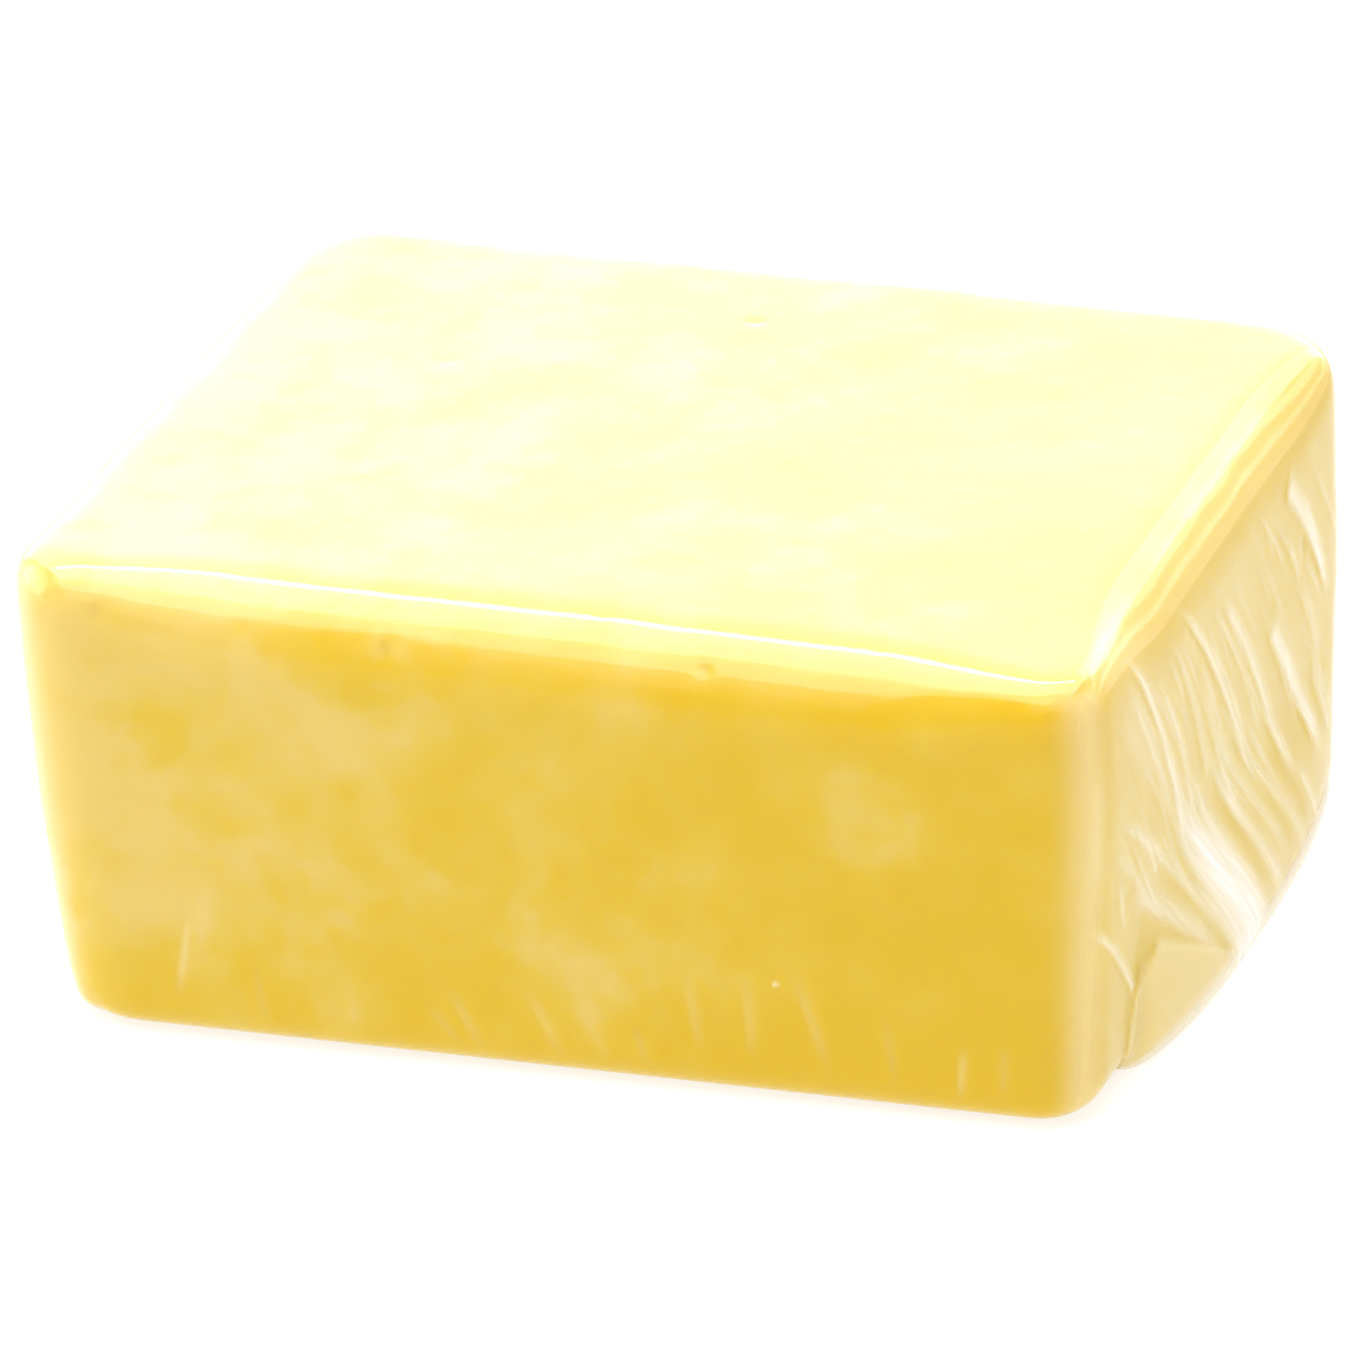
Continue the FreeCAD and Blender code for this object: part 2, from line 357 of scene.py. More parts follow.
# Larger curds that show on the front: pale ones above 0 and deep ones below, as (place along it, height on
# it, half length, half height, turn in degrees, strength), in millimetres.
CURDS = [
    (-30.5, 26.0, 3.5, 2.0, 20, 0.7), (-27.0, 21.5, 6.0, 4.5, -25, 1.0), (-23.5, 16.5, 4.5, 4.0, 30, 0.9),
    (-16.5, 32.5, 4.5, 5.0, 10, 0.6), (-12.5, 36.0, 3.0, 3.5, 40, 0.5), (3.0, 29.5, 4.4, 3.6, 30, 0.4),
    (-2.0, 17.5, 1.6, 5.5, 8, 0.7), (3.0, 8.0, 2.0, 5.0, 20, 0.5), (-40.5, 31.5, 2.0, 1.2, 0, 0.8),
    (-43.0, 21.5, 2.4, 1.2, -20, 0.8), (-36.0, 39.0, 4.0, 1.0, 0, 0.4), (17.0, 25.0, 4.0, 3.0, 25, 0.5),
    (24.0, 17.0, 3.0, 4.5, 0, 0.5), (35.0, 33.0, 3.5, 4.5, -15, 0.2), (44.0, 16.0, 2.5, 4.0, 10, 0.4),
    (-28.0, 8.5, 4.5, 4.0, 0, -0.9), (-8.5, 12.0, 5.0, 2.2, -8, -0.8), (9.0, 11.0, 3.0, 4.0, 30, -0.9),
    (-15.5, 39.5, 2.6, 1.6, 0, -0.8), (-38.0, 27.0, 2.4, 2.4, 0, -0.6), (-10.0, 25.0, 4.0, 3.0, 0, -0.5),
    (26.0, 30.0, 5.0, 4.0, 0, -0.5), (40.0, 25.0, 5.0, 5.0, 0, -0.5), (15.5, 37.0, 4.0, 2.5, 0, -0.5),
    (31.0, 9.0, 5.0, 3.0, 0, -0.6), (47.0, 30.0, 3.0, 6.0, 0, -0.5),
]


def scattered_curds(seed, half_length, height, count):
    """Curds like the front's for another face, at random."""
    draw = random.Random(seed)
    return [(draw.uniform(-half_length, half_length), draw.uniform(2, height), draw.uniform(2, 6),
             draw.uniform(1.5, 5), draw.uniform(-40, 40), draw.choice((-0.8, -0.5, 0.5, 0.7, 0.9)))
            for _ in range(count)]


def curd_tone(block):
    """How the larger curds tint the cheese at each vertex: pale up to 1, and deep down to -1."""
    places, _ = points_of(block)
    bend = np.column_stack([cloud(places, 5 * MM, seed) for seed in (21, 22, 23)])
    bend += 0.5 * np.column_stack([cloud(places, 2 * MM, seed) for seed in (24, 25, 26)])
    bent = (places + 3.6 * MM * bend) / MM
    x, y, z = bent.T
    half_length, half_width, height = HALF_LENGTH / MM, HALF_WIDTH / MM, HEIGHT / MM
    # The top and the underside are wider than the sides are high, so their curds are spread out.
    top_curds, foot_curds = ([(a, 1.9 * b - 44, *rest) for a, b, *rest in scattered_curds(seed, 50, 44, 44)]
                             for seed in (34, 35))
    faces = (
        (x, z, np.abs(y + half_width), CURDS),
        (x, z, np.abs(y - half_width), scattered_curds(31, 50, 44, 26)),
        (y, z, np.abs(x - half_length), scattered_curds(32, 40, 44, 20)),
        (y, z, np.abs(x + half_length), scattered_curds(33, 40, 44, 20)),
        (x, y, np.abs(z - height), top_curds),
        (x, y, np.abs(z), foot_curds),
    )
    tone = np.zeros(len(places))
    for along, over, depth, curds in faces:
        for centre_along, centre_over, half_along, half_over, turn, strength in curds:
            c, s = math.cos(math.radians(turn)), math.sin(math.radians(turn))
            a, o = along - centre_along, over - centre_over
            away = np.hypot((c * a + s * o) / half_along, (c * o - s * a) / half_over)
            tone += strength * ramp(away, 1.5, 0.3) * ramp(depth, 9, 5)
    return np.clip(tone, -1, 1)


# ---------------------------------------------------------------- the film

class Crease:
    """A ridge of gathered film, from a start to an end on a face, bowed to one side.

    Places are (across, up) in millimetres on the face. half_width is at the start and the end. height is
    how far the ridge stands out, and white how strongly it whitens the film.
    """

    def __init__(self, start, end, bow=0.0, half_width=(0.5, 0.5), height=0.3, white=0.5, fade=(0.15, 0.1)):
        self.start, self.end = np.array(start, float), np.array(end, float)
        self.bow, self.half_width, self.height = bow, half_width, height
        self.white, self.fade = white, fade

    def reach(self, across, up):
        """How far along the ridge each place lies, from 0 to 1, and its distance from it in millimetres.

        The distance is negative on the ridge's steep side.
        """
        run = self.end - self.start
        side = np.array((-run[1], run[0])) / np.hypot(*run)
        steps = np.linspace(0, 1, 15)
        line = self.start + steps[:, None] * run + (bulge(steps) * self.bow)[:, None] * side
        best = np.full(across.shape, 1e9)
        along = np.zeros(across.shape)
        steep = np.zeros(across.shape, bool)
        for n in range(len(steps) - 1):
            piece = line[n + 1] - line[n]
            share = ((across - line[n, 0]) * piece[0] + (up - line[n, 1]) * piece[1]) / (piece @ piece)
            share = np.clip(share, 0, 1)
            off_across = across - line[n, 0] - share * piece[0]
            off_up = up - line[n, 1] - share * piece[1]
            away = np.hypot(off_across, off_up)
            nearer = away < best
            steep = np.where(nearer, off_across * piece[1] - off_up * piece[0] > 0, steep)
            best = np.where(nearer, away, best)
            along = np.where(nearer, (n + share) / (len(steps) - 1), along)
        return along, np.where(steep, -best, best)

    def press(self, across, up):
        """The ridge's height in millimetres and its whiteness at each place."""
        along, away = self.reach(across, up)
        width = self.half_width[0] + (self.half_width[1] - self.half_width[0]) * along
        ends = ramp(along, 0, self.fade[0]) * ramp(along, 1, 1 - self.fade[1])
        away = np.where(away < 0, away / 0.6, away)
        shape = np.exp(-(away / width) ** 2) * ends
        return self.height * shape, self.white * shape


def let_light_through(film):
    """Film this thin doesn't darken what lies under it."""
    film.visible_shadow = film.visible_diffuse = False


def skin_patch(block, name, keep):
    """A piece of film: a copy of the part of the block's skin whose faces pass a test."""
    only(block)
    bpy.ops.object.duplicate()
    patch = bpy.context.active_object
    patch.name = name
    let_light_through(patch)
    edit(patch, "FACE")
    choose(patch, "FACE", lambda f: not keep(f.calc_center_median()))
    bpy.ops.mesh.delete(type="FACE")
    leave(patch)
    return patch


def refine(patch, wanted):
    """Halves the size of the faces that pass a test."""
    edit(patch, "FACE")
    choose(patch, "FACE", lambda f: wanted(f.calc_center_median()))
    bpy.ops.mesh.subdivide(number_cuts=1, smoothness=0)
    leave(patch)


# The right end's gathers. Across runs from the front (negative) to the back, and up from the foot. They run
# slantwise down towards the back, all but side by side, and bunch into a white band at the foot.
BAND = [
    Crease((-28.5, 33.0), (-4.6, 1.0), 1.0, (0.8, 3.4), 0.05, 0.7, (0.7, 0.02)),
    Crease((-22.5, 29.0), (-1.6, 1.0), 1.0, (1.2, 4.4), 0.08, 1.0, (0.6, 0.02)),
    Crease((-16.0, 27.0), (1.0, 1.0), 0.8, (0.8, 2.6), 0.05, 0.7, (0.6, 0.02)),
]
FAN = [
    Crease((-38.0, 42.0), (-26.0, 28.0), 0.6, (2.5, 3.6), 0.01, 0.28, (0.4, 0.3)),
    Crease((-35.6, 43.7), (-20.0, 22.0), 0.8, (1.2, 2.1), 0.03, 0.37, (0.3, 0.3)),
    Crease((-33.9, 46.5), (-14.8, 16.5), 1.2, (0.6, 1.5), 0.03, 0.60, (0.2, 0.2)),
    Crease((-26.8, 41.5), (-12.0, 18.0), 1.0, (0.6, 1.4), 0.03, 0.37, (0.3, 0.2)),
    Crease((-22.0, 43.0), (-7.5, 20.0), 1.2, (0.6, 1.4), 0.03, 0.32, (0.3, 0.2)),
    Crease((-18.0, 44.0), (7.0, 14.5), 1.6, (0.6, 1.4), 0.04, 0.55, (0.2, 0.2)),
    Crease((-14.0, 36.0), (0.5, 13.0), 1.0, (1.2, 1.4), 0.03, 0.37, (0.4, 0.2)),
    Crease((-10.2, 26.0), (8.3, 2.0), 0.8, (1.1, 2.0), 0.04, 0.51, (0.3, 0.15)),
    Crease((-7.8, 39.6), (3.5, 27.5), 0.5, (0.6, 0.8), 0.02, 0.37, (0.3, 0.3)),
    Crease((-6.5, 25.5), (11.1, 4.6), 1.0, (0.9, 1.7), 0.03, 0.37, (0.3, 0.2)),
    Crease((-4.4, 39.0), (18.2, 9.0), 1.8, (1.1, 1.4), 0.04, 0.55, (0.15, 0.2)),
    Crease((0.5, 31.0), (9.0, 19.0), 0.6, (0.6, 0.8), 0.01, 0.28, (0.3, 0.3)),
    Crease((3.2, 20.0), (17.5, 2.6), 0.8, (1.2, 1.4), 0.03, 0.37, (0.3, 0.2)),
    Crease((8.0, 33.0), (22.0, 13.0), 1.2, (0.9, 1.4), 0.02, 0.28, (0.3, 0.3)),
    Crease((11.6, 29.5), (27.0, 9.0), 1.2, (1.8, 1.4), 0.04, 0.69, (0.12, 0.2)),
    Crease((17.5, 12.5), (23.0, 3.0), 0.3, (1.1, 1.0), 0.02, 0.41, (0.3, 0.2)),
    Crease((18.2, 41.5), (32.5, 24.0), 0.9, (1.9, 0.9), 0.04, 0.78, (0.06, 0.3)),
    Crease((22.0, 30.0), (30.0, 17.0), 0.5, (1.0, 1.2), 0.02, 0.32, (0.3, 0.3)),
    Crease((26.0, 20.0), (32.0, 9.0), 0.3, (1.4, 1.4), 0.02, 0.41, (0.3, 0.3)),
]
FRONT_FOLDS = [
    Crease((-40.0, 31.0), (-7.5, 3.0), 2.6, (0.8, 1.4), 0.06, 0.46, (0.2, 0.1)),
    Crease((-34.5, 21.5), (-10.0, 4.0), 0.8, (1.8, 2.1), 0.05, 0.51, (0.2, 0.3)),
    Crease((-43.0, 21.5), (-31.0, 9.5), 0.3, (0.6, 0.8), 0.04, 0.51, (0.2, 0.1)),
    Crease((-40.5, 28.0), (-28.0, 18.0), 0.6, (1.0, 1.2), 0.03, 0.32, (0.3, 0.3)),
    Crease((-32.0, 25.5), (-24.0, 18.0), 0.3, (1.0, 1.2), 0.03, 0.32, (0.3, 0.3)),
    Crease((-41.4, 38.0), (-42.3, 22.0), 0.0, (1.0, 0.9), 0.01, 0.37, (0.3, 0.3)),
    Crease((-37.5, 24.0), (-35.5, 18.0), 0.2, (0.8, 0.8), 0.01, 0.32, (0.3, 0.3)),
]
# Where the film lies flat and clear on the cheese, as (across, up, radius).
CLEAR_SPOTS = [(-32.0, 12.0, 4.5), (-36.0, 21.5, 3.0), (24.0, 36.0, 7.0), (-3.0, 42.0, 5.0)]


def fine_gathers(seed, side, count):
    """Many thin gathers that run slantwise down an end, evenly spread with some chance."""
    draw = random.Random(seed)
    gathers = []
    for n in range(count):
        across = -side * (36 - 62 * (n + draw.random()) / count)
        top = draw.uniform(20, 43)
        length = draw.uniform(7, 20)
        slope = math.radians(draw.uniform(47, 58))
        foot = (across + side * length * math.cos(slope), max(2.5, top - length * math.sin(slope)))
        width = draw.uniform(0.3, 0.6)
        gathers.append(Crease((across, top), foot, side * draw.uniform(0.2, 0.9), (width, width * 1.3),
                              draw.uniform(0.01, 0.03), draw.uniform(0.1, 0.3), (0.4, 0.4)))
    return gathers


def left_gathers():
    """The left end's own gathers: the band lies towards the back there."""
    draw = random.Random(41)
    gathers = []
    for n, (high, width) in enumerate(((34, 1.8), (32, 2.4), (33, 2.6), (30, 2.4), (27, 1.8))):
        gathers.append(Crease((30 - 4.3 * n, high), (5.5 - 2.1 * n, 1.2), -1.0, (0.8, width), 0.18,
                              draw.uniform(0.7, 0.9), (0.6, 0.04)))
    for n in range(18):
        across = 37 - 64 * (n + 0.6 * draw.random()) / 17
        top, length = draw.uniform(28, 44), draw.uniform(14, 34)
        foot = (across - 0.62 * length, max(3, top - 0.78 * length))
        width = draw.uniform(0.5, 1.1)
        gathers.append(Crease((across, top), foot, draw.uniform(-1.6, -0.6), (width, width * 1.2),
                              draw.uniform(0.04, 0.08), draw.uniform(0.3, 0.75), (0.25, 0.25)))
    gathers += [Crease((40, level), (14 + level / 3, level / 3), -1.4, (0.7, 1.0), 0.1, 0.5, (0.2, 0.2))
                for level in (16, 22, 29)]
    return gathers


def fibres(places, side):
    """The film's own fine streaks, which run with the gathers: from 0 to 1 at each place."""
    slant = math.radians(GATHER_SLANT)
    across, up = side * places[:, 1], places[:, 2]
    along = math.sin(slant) * across - math.cos(slant) * up
    over = math.cos(slant) * across + math.sin(slant) * up
    stretched = np.column_stack((np.full(len(places), side * 40 * MM), along / 13, over))
    coarse = cloud(stretched, 1.5 * MM, 11)
    fine = cloud(stretched, 0.6 * MM, 12)
    return ramp(coarse, -0.15, 0.55), ramp(fine, -0.3, 0.5)


def gathered(creases, across, up):
    """The height in millimetres and the whiteness of many creases together.

    Pulled tight, a gather keeps only a share of its height.
    """
    rise, white = np.zeros(across.shape), np.zeros(across.shape)
    for crease in creases:
        ridge, pale = crease.press(across, up)
        rise = np.maximum(rise, RIDGE_SHARE * ridge)
        white = 1 - (1 - white) * (1 - np.clip(pale, 0, 1))
    return rise, white


def end_film(cheese, name, side, clear_spots):
    """The film that closes an end. side is 1 at the right end and -1 at the left."""
    inside = HALF_LENGTH - END_PATCH
    patch = skin_patch(cheese, name, lambda c: side * c.x > inside)
    refine(patch, lambda c: c.z < 15 * MM and -34 * MM < side * c.y < -2 * MM)
    places, normals = points_of(patch)
    across, up = places[:, 1] / MM, places[:, 2] / MM
    inward = np.maximum(0, HALF_LENGTH - FOOT_INSET - side * places[:, 0]) / MM
    # Towards the patch's border the film lies down, so that it meets the piece that goes round.
    border = ramp(inward, END_PATCH / MM - 2.5, 1)
    tucked = fold_at(places, side) * border
    veil = border * ramp(places[:, 2], HEIGHT - 1 * MM, HEIGHT - 9 * MM)
    # Painted light: the film gets a pale cover where it turns the corner from the front or the back,
    # standing for the light that the rounded corner catches.
    turned = np.degrees(np.arctan2(side * normals[:, 0], np.abs(normals[:, 1])))
    level = ramp(np.abs(normals[:, 2]), 0.9, 0.5)
    painted_corner_light = 0.9 * np.exp(-((turned - 54) / 24) ** 2) * level * border
    for spot_across, spot_up, radius in clear_spots:
        away = np.hypot(across - spot_across, up - spot_up)
        veil *= 1 - 0.8 * np.exp(-(away / radius) ** 2)
    flap = flap_at(places, side)
    places += normals * (FILM_GAP + FILM_LIFT * tucked)[:, None]
    places[:, 2] = np.maximum(places[:, 2], 0.05 * MM)
    set_points(patch, places)
    # The fold mask carries the tucked fold and the flap, and also the painted corner light.
    set_masks(patch, 0, np.maximum(np.maximum(0.45 * tucked, flap), painted_corner_light), veil)
    return patch


def slanting_grid(name, side):
    """A fine grid beside an end, whose rows run with the folds, cut to the end's width and height."""
    slant = math.radians(GATHER_SLANT)
    along = Vector((0, -side * math.sin(slant), math.cos(slant)))
    across = Vector((0, side * math.cos(slant), math.sin(slant)))
    turn = Matrix((across, along, (side, 0, 0))).transposed()
    reach = math.hypot(2 * HALF_WIDTH, HEIGHT)
    bpy.ops.mesh.primitive_grid_add(
        x_subdivisions=round(reach / GATHER_GRAIN[0]), y_subdivisions=round(reach / GATHER_GRAIN[1]),
        size=reach, location=(side * (HALF_LENGTH + 10 * MM), 0, HEIGHT / 2), rotation=turn.to_euler())
    sheet = bpy.context.active_object
    sheet.name = name
    let_light_through(sheet)
    bpy.ops.object.transform_apply(location=True, rotation=True, scale=True)
    edit(sheet, "FACE")

    def outside(face):
        centre = face.calc_center_median()
        return abs(centre.y) > SHEET_HALF_WIDTH or not SHEET_LOW < centre.z < SHEET_HIGH
    choose(sheet, "FACE", outside)
    bpy.ops.mesh.delete(type="FACE")
    return leave(sheet)


def lay_on_end(sheet, cheese, side):
    """Lays a grid flat on the cheese's end, and takes away what misses it."""
    only(sheet)
    lay = sheet.modifiers.new("lay_on_cheese", "SHRINKWRAP")
    lay.wrap_method = "PROJECT"
    lay.use_project_x = True
    lay.use_positive_direction = side < 0
    lay.use_negative_direction = side > 0
    lay.target = cheese
    bpy.ops.object.modifier_apply(modifier=lay.name)
    edit(sheet, "FACE")
    choose(sheet, "FACE", lambda f: max(abs(v.co.x) for v in f.verts) > HALF_LENGTH + 4 * MM)
    bpy.ops.mesh.delete(type="FACE")
    leave(sheet)
    bpy.ops.object.shade_smooth()


def gather_sheet(cheese, name, side, creases):
    """An end's gathers: a fine sheet laid on the cheese, raised along the creases."""
    sheet = slanting_grid(name, side)
    lay_on_end(sheet, cheese, side)
    places, normals = points_of(sheet)
    rise, white = gathered(creases, places[:, 1] / MM, places[:, 2] / MM)
    coarse, fine = fibres(places, side)
    # Streaks fill in round the gathers, and thin out where the film is taut, high up and far from the band.
    taut = ramp(side * places[:, 1], -10 * MM, 34 * MM) * ramp(places[:, 2], 18 * MM, 34 * MM)
    white = white * (0.85 + 0.15 * fine) + (1 - white) * (0.07 - 0.04 * taut) * coarse * (0.4 + 0.6 * fine)
    border = ramp(np.abs(places[:, 1]), SHEET_HALF_WIDTH, SHEET_HALF_WIDTH - 3 * MM)
    border *= ramp(places[:, 2], SHEET_HIGH, SHEET_HIGH - 3 * MM)
    lift = FILM_GAP + 0.1 * MM + FILM_LIFT * fold_at(places, side)
    places += normals * (lift + rise * border * MM)[:, None]
    places[:, 2] = np.maximum(places[:, 2], 0.05 * MM)
    set_points(sheet, places)
    set_masks(sheet, white * border, 0, 0)
    return sheet


FRONT_WRINKLES_AND_GLINT = [
    Crease((-11.0, 9.5), (-7.4, 2.2), 0.2, (0.77, 0.66), 0.0, 0.10, (0.4, 0.4)),
    Crease((-13.5, 7.5), (-9.4, 2.2), 0.2, (0.68, 0.57), 0.0, 0.07, (0.4, 0.4)),
    Crease((-2.8, 10.4), (0.7, 2.4), 0.2, (0.85, 0.66), 0.0, 0.11, (0.4, 0.4)),
    Crease((3.0, 9.0), (5.5, 2.4), 0.1, (0.77, 0.57), 0.0, 0.07, (0.4, 0.4)),
    Crease((8.0, 8.0), (9.4, 2.4), 0.1, (0.59, 0.57), 0.0, 0.07, (0.4, 0.4)),
    Crease((13.6, 14.4), (14.9, 4.1), 0.2, (0.85, 0.66), 0.0, 0.10, (0.4, 0.4)),
    Crease((19.7, 15.0), (20.0, 4.1), 0.2, (0.85, 0.66), 0.0, 0.10, (0.4, 0.4)),
    Crease((24.2, 15.5), (27.9, 3.5), 0.3, (0.85, 0.66), 0.0, 0.10, (0.4, 0.4)),
    Crease((41.5, 9.2), (40.7, 2.4), 0.0, (0.59, 0.47), 0.0, 0.16, (0.4, 0.4)),
    # Painted highlight: a tiny pure white dot, a glint off a small bubble under the film.
    Crease((22.8, 13.1), (23.3, 13.1), 0.0, (0.35, 0.35), 0.0, 0.9, (0.3, 0.3)),
    Crease((45.5, 10.0), (45.0, 3.0), 0.0, (0.68, 0.57), 0.0, 0.07, (0.4, 0.4)),
    Crease((-37.0, 15.1), (-39.3, 4.3), 0.2, (0.51, 0.66), 0.0, 0.19, (0.4, 0.4)),
    Crease((-35.0, 20.0), (-37.0, 6.0), 0.2, (1.02, 0.95), 0.0, 0.07, (0.4, 0.4)),
    Crease((-30.5, 10.0), (-30.0, 2.5), 0.0, (0.59, 0.57), 0.0, 0.07, (0.4, 0.4)),
    Crease((-21.0, 9.0), (-20.5, 2.5), 0.0, (0.68, 0.57), 0.0, 0.06, (0.4, 0.4)),
    Crease((33.5, 12.0), (34.5, 3.0), 0.0, (0.68, 0.57), 0.0, 0.06, (0.4, 0.4)),
]


def back_wrinkles():
    """Faint upright wrinkles low on the back, and the straight free edge of the film's overlap."""
    draw = random.Random(17)
    wrinkles = [Crease((-44, 15.5), (44, 13.0), 0.6, (0.3, 0.3), 0.22, 0.4, (0.04, 0.04))]
    for n in range(12):
        across = -41 + 82 * (n + 0.7 * draw.random()) / 12
        top = draw.uniform(8, 13)
        wrinkles.append(Crease((across, top), (across + draw.uniform(-2, 3), 2.3), draw.uniform(-0.2, 0.4),
                               (0.45, 0.35), draw.uniform(0.1, 0.16), draw.uniform(0.15, 0.3), (0.3, 0.3)))
    return wrinkles


def round_film(cheese):
    """The film that goes round the block, with the faint wrinkles low on its front and back, and a painted
    highlight on its front.
    """
    inside = HALF_LENGTH - END_PATCH
    patch = skin_patch(cheese, "film_round", lambda c: abs(c.x) <= inside)
    refine(patch, lambda c: abs(c.y) > HALF_WIDTH - 3 * MM and c.z < 17 * MM)
    places, normals = points_of(patch)
    along, up = places[:, 0] / MM, places[:, 2] / MM
    front = places[:, 1] < 0
    front_rise, front_white = gathered(FRONT_WRINKLES_AND_GLINT, along, up)
    back_rise, back_white = gathered(back_wrinkles(), along, up)
    level = np.abs(normals[:, 2]) < 0.9
    rise = np.where(front, front_rise, back_rise) * level
    white = np.where(front, front_white, back_white) * level
    places += normals * (FILM_GAP + rise * MM)[:, None]
    places[:, 2] = np.maximum(places[:, 2], 0.05 * MM)
    set_points(patch, places)
    set_masks(patch, white, 0, 0)
    return patch


# ---------------------------------------------------------------- materials

def new_material(name):
    """A node material, its node tree and its Principled shader."""
    material = bpy.data.materials.new(name)
    material.use_nodes = True
    tree = material.node_tree
    shader = next(node for node in tree.nodes if node.type == "BSDF_PRINCIPLED")
    return material, tree, shader


def add(tree, kind, **settings):
    """A shader node. Settings name its properties, or its inputs where it has no such property."""
    node = tree.nodes.new(f"ShaderNode{kind}")
    for name, value in settings.items():
        label = name.replace("_", " ").title()
        if hasattr(node, name):
            setattr(node, name, value)
        else:
            node.inputs[label].default_value = value
    return node


def blend_colours(tree, factor, first, second):
    """A colour mixed from two, each a colour or a socket."""
    mix = add(tree, "Mix", data_type="RGBA")
    for socket, value in ((mix.inputs[0], factor), (mix.inputs[6], first), (mix.inputs[7], second)):
        if isinstance(value, bpy.types.NodeSocket):
            tree.links.new(value, socket)
        else:
            socket.default_value = value
    return mix.outputs[2]


def calculate(tree, operation, *values, clamp=False):
    """A number worked out from others, each a number or a socket."""
    node = add(tree, "Math", operation=operation, use_clamp=clamp)
    for socket, value in zip(node.inputs, values):
        if isinstance(value, bpy.types.NodeSocket):
            tree.links.new(value, socket)
        else:
            socket.default_value = value
    return node.outputs[0]


def span(tree, value, low, high, out_low=0.0, out_high=1.0):
    """A number carried smoothly from one range to another, and held at its ends."""
    node = add(tree, "MapRange", interpolation_type="SMOOTHSTEP")
    tree.links.new(value, node.inputs[0])
    for socket, number in zip(node.inputs[1:5], (low, high, out_low, out_high)):
        socket.default_value = number
    return node.outputs[0]


def place_on_block(tree, scale=(1, 1, 1), shift=(0, 0, 0)):
    """The place on the block in metres, stretched and shifted."""
    place = add(tree, "TexCoord")
    mapping = add(tree, "Mapping")
    mapping.inputs["Location"].default_value = shift
    mapping.inputs["Scale"].default_value = scale
    tree.links.new(place.outputs["Object"], mapping.inputs["Vector"])
    return mapping.outputs[0]


def noise_at(tree, vector, scale, detail=2.0, roughness=0.5, distortion=0.0):
    """Noise from 0 to 1 at a place."""
    node = add(tree, "TexNoise", scale=scale, detail=detail, roughness=roughness, distortion=distortion)
    tree.links.new(vector, node.inputs["Vector"])
    return node.outputs["Fac"]


CHEESE_DEEP = (0.64, 0.42, 0.0, 1)
CHEESE_MID = (0.65, 0.446, 0.02, 1)
CHEESE_PALE = (0.67, 0.498, 0.12, 1)


def curd_cells(tree, place, scale, bend_scale, bend_by, smoothness):
    """Cells of random tone from 0 to 1, with bent, soft edges."""
    bend = add(tree, "TexNoise", scale=bend_scale, detail=2)
    tree.links.new(place, bend.inputs["Vector"])
    bent = add(tree, "VectorMath", operation="MULTIPLY_ADD")
    tree.links.new(bend.outputs["Color"], bent.inputs[0])
    bent.inputs[1].default_value = (bend_by, bend_by, bend_by)
    tree.links.new(place, bent.inputs[2])
    curds = add(tree, "TexVoronoi", feature="SMOOTH_F1", scale=scale, smoothness=smoothness)
    tree.links.new(bent.outputs[0], curds.inputs["Vector"])
    tone = add(tree, "SeparateColor")
    tree.links.new(curds.outputs["Color"], tone.inputs[0])
    return tone.outputs[0]


